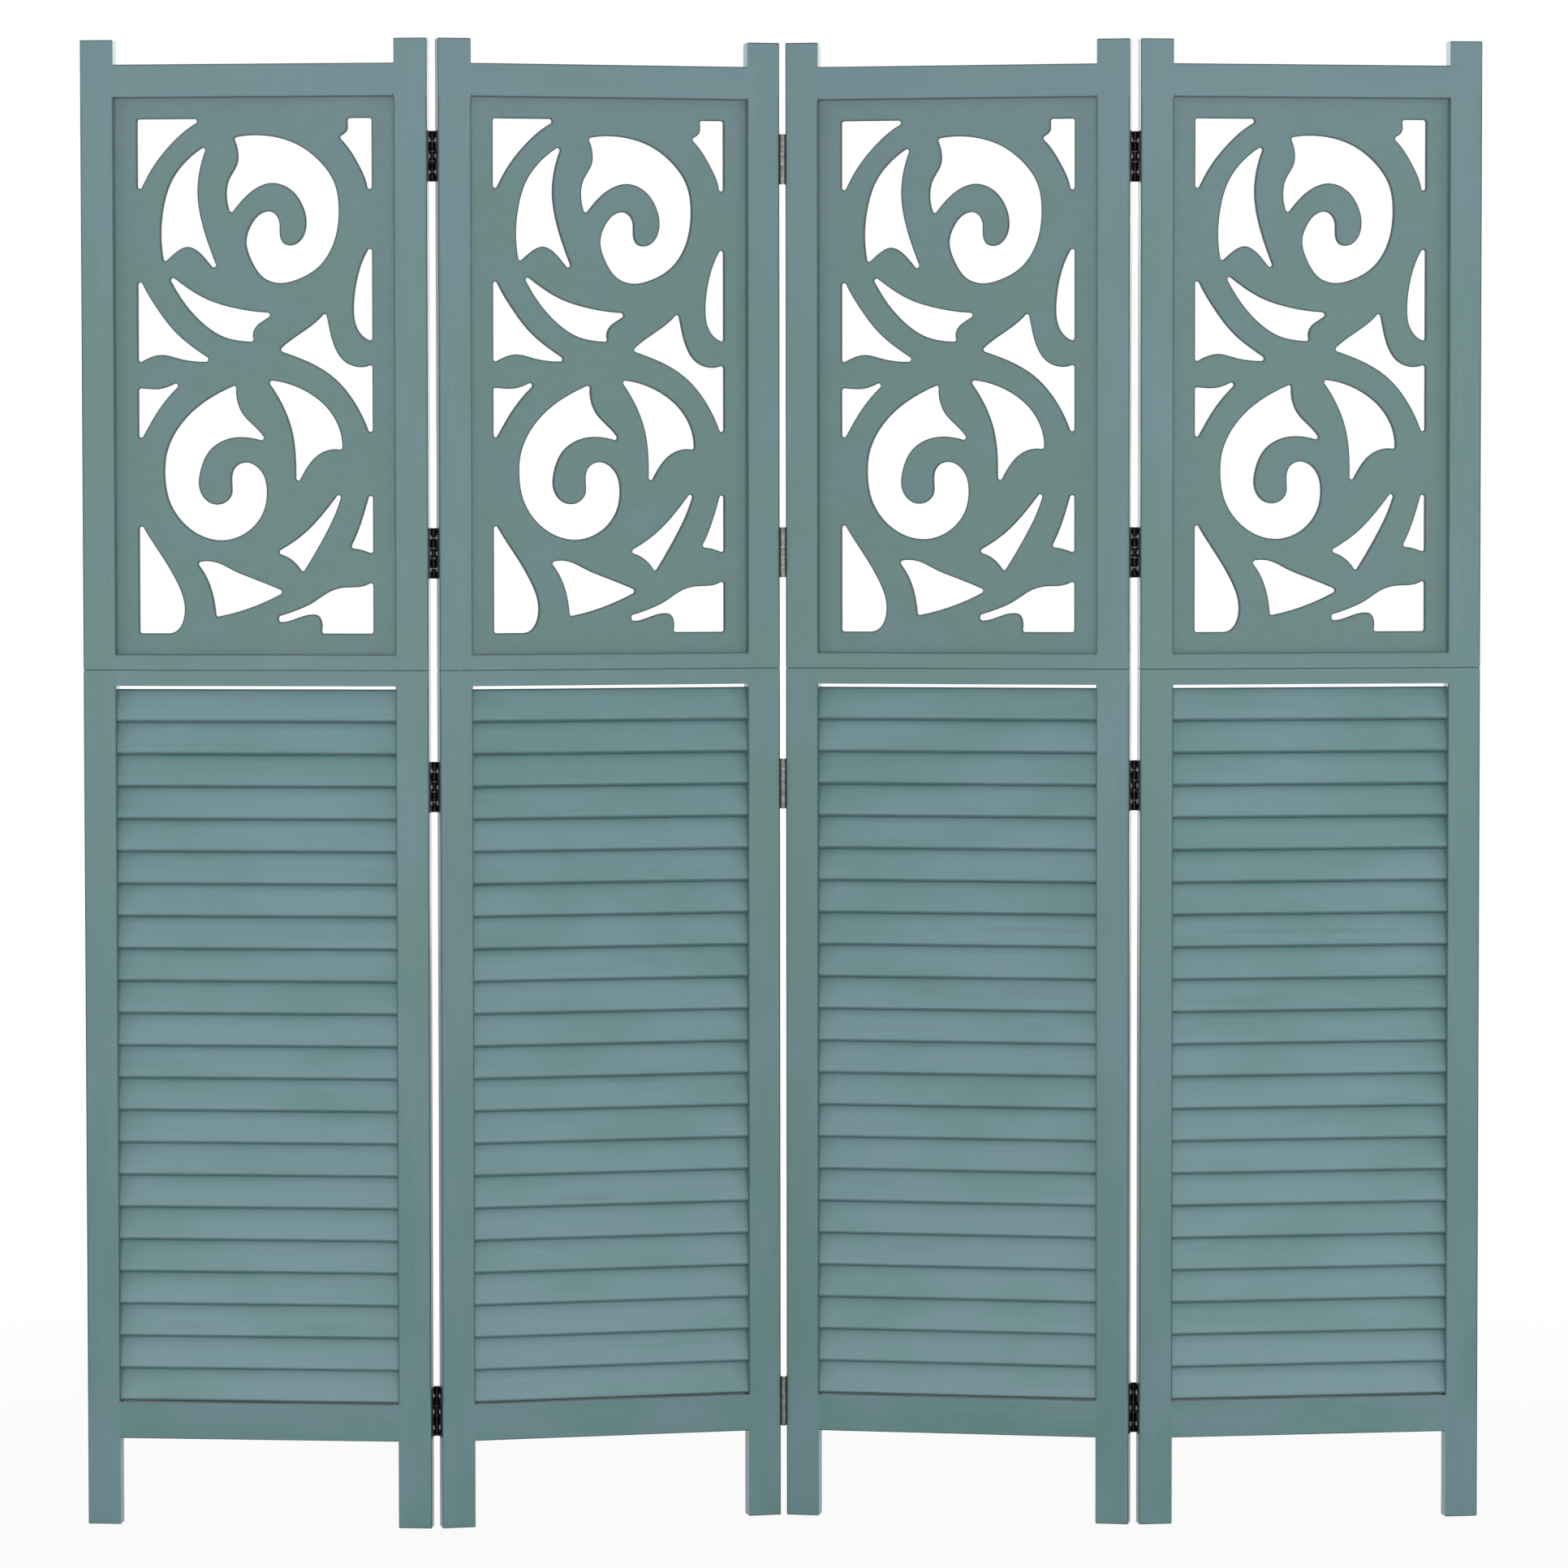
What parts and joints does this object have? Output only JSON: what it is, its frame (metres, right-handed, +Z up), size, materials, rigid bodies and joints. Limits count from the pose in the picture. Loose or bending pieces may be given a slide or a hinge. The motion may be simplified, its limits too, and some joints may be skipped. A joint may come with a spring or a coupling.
{
  "type": "folding screen",
  "caption": "Freestanding folding screen of hinged painted wood panels, each with a board pierced with scroll work over a field of fixed louver slats.",
  "frame": {"origin": "on the floor, in the middle of the screen's footprint box in the rest pose", "axes": "+Z up, -Y the front of the screen, +X to the right when seen from the front"},
  "size_m": [1.6022, 0.1174, 1.7],
  "materials": {
    "frame_paint": "satin grey-teal paint on solid wood",
    "board_paint": "satin grey-teal paint on a thin pierced board",
    "slat_paint": "satin grey-teal paint on thin solid wood",
    "dowel_wood": "bare wood",
    "hinge_metal": "dark plated steel",
    "pin_steel": "bright steel",
    "screw_steel": "zinc-plated steel"
  },
  "bodies": {
    "panel_1": {"bottom_rail_1": "frame_paint", "carved_panel_1": "board_paint", "hinge_leaves_left_1": "hinge_metal", "hinge_pins_1": "pin_steel", "hinge_screws_left_1": "screw_steel", "joining_dowels_1": "dowel_wood", "louver_slats_1": "slat_paint", "lower_left_stile_1": "frame_paint", "lower_right_stile_1": "frame_paint", "lower_top_rail_1": "frame_paint", "top_rail_1": "frame_paint", "upper_bottom_rail_1": "frame_paint", "upper_left_stile_1": "frame_paint", "upper_right_stile_1": "frame_paint"},
    "panel_2": {"bottom_rail_2": "frame_paint", "carved_panel_2": "board_paint", "hinge_leaves_left_2": "hinge_metal", "hinge_leaves_right_1": "hinge_metal", "hinge_pins_2": "pin_steel", "hinge_screws_left_2": "screw_steel", "hinge_screws_right_1": "screw_steel", "joining_dowels_2": "dowel_wood", "louver_slats_2": "slat_paint", "lower_left_stile_2": "frame_paint", "lower_right_stile_2": "frame_paint", "lower_top_rail_2": "frame_paint", "top_rail_2": "frame_paint", "upper_bottom_rail_2": "frame_paint", "upper_left_stile_2": "frame_paint", "upper_right_stile_2": "frame_paint"},
    "panel_3": {"bottom_rail_3": "frame_paint", "carved_panel_3": "board_paint", "hinge_leaves_left_3": "hinge_metal", "hinge_leaves_right_2": "hinge_metal", "hinge_pins_3": "pin_steel", "hinge_screws_left_3": "screw_steel", "hinge_screws_right_2": "screw_steel", "joining_dowels_3": "dowel_wood", "louver_slats_3": "slat_paint", "lower_left_stile_3": "frame_paint", "lower_right_stile_3": "frame_paint", "lower_top_rail_3": "frame_paint", "top_rail_3": "frame_paint", "upper_bottom_rail_3": "frame_paint", "upper_left_stile_3": "frame_paint", "upper_right_stile_3": "frame_paint"},
    "panel_4": {"bottom_rail_4": "frame_paint", "carved_panel_4": "board_paint", "hinge_leaves_right_3": "hinge_metal", "hinge_screws_right_3": "screw_steel", "joining_dowels_4": "dowel_wood", "louver_slats_4": "slat_paint", "lower_left_stile_4": "frame_paint", "lower_right_stile_4": "frame_paint", "lower_top_rail_4": "frame_paint", "top_rail_4": "frame_paint", "upper_bottom_rail_4": "frame_paint", "upper_left_stile_4": "frame_paint", "upper_right_stile_4": "frame_paint"}
  },
  "joints": [
    {"name": "fold_1", "type": "hinge", "parent": "panel_2", "child": "panel_1", "pos_m": [-0.39917, -0.0387, 0.85], "axis": [0, 0, -1], "range_deg": [-19.8, 160.2]},
    {"name": "fold_2", "type": "hinge", "parent": "panel_2", "child": "panel_3", "pos_m": [-0.00114, 0.03932, 0.85], "axis": [0, 0, -1], "range_deg": [-24.9, 155.1]},
    {"name": "fold_3", "type": "hinge", "parent": "panel_3", "child": "panel_4", "pos_m": [0.4009, -0.01426, 0.85], "axis": [0, 0, 1], "range_deg": [-19.5, 160.5]}
  ]
}
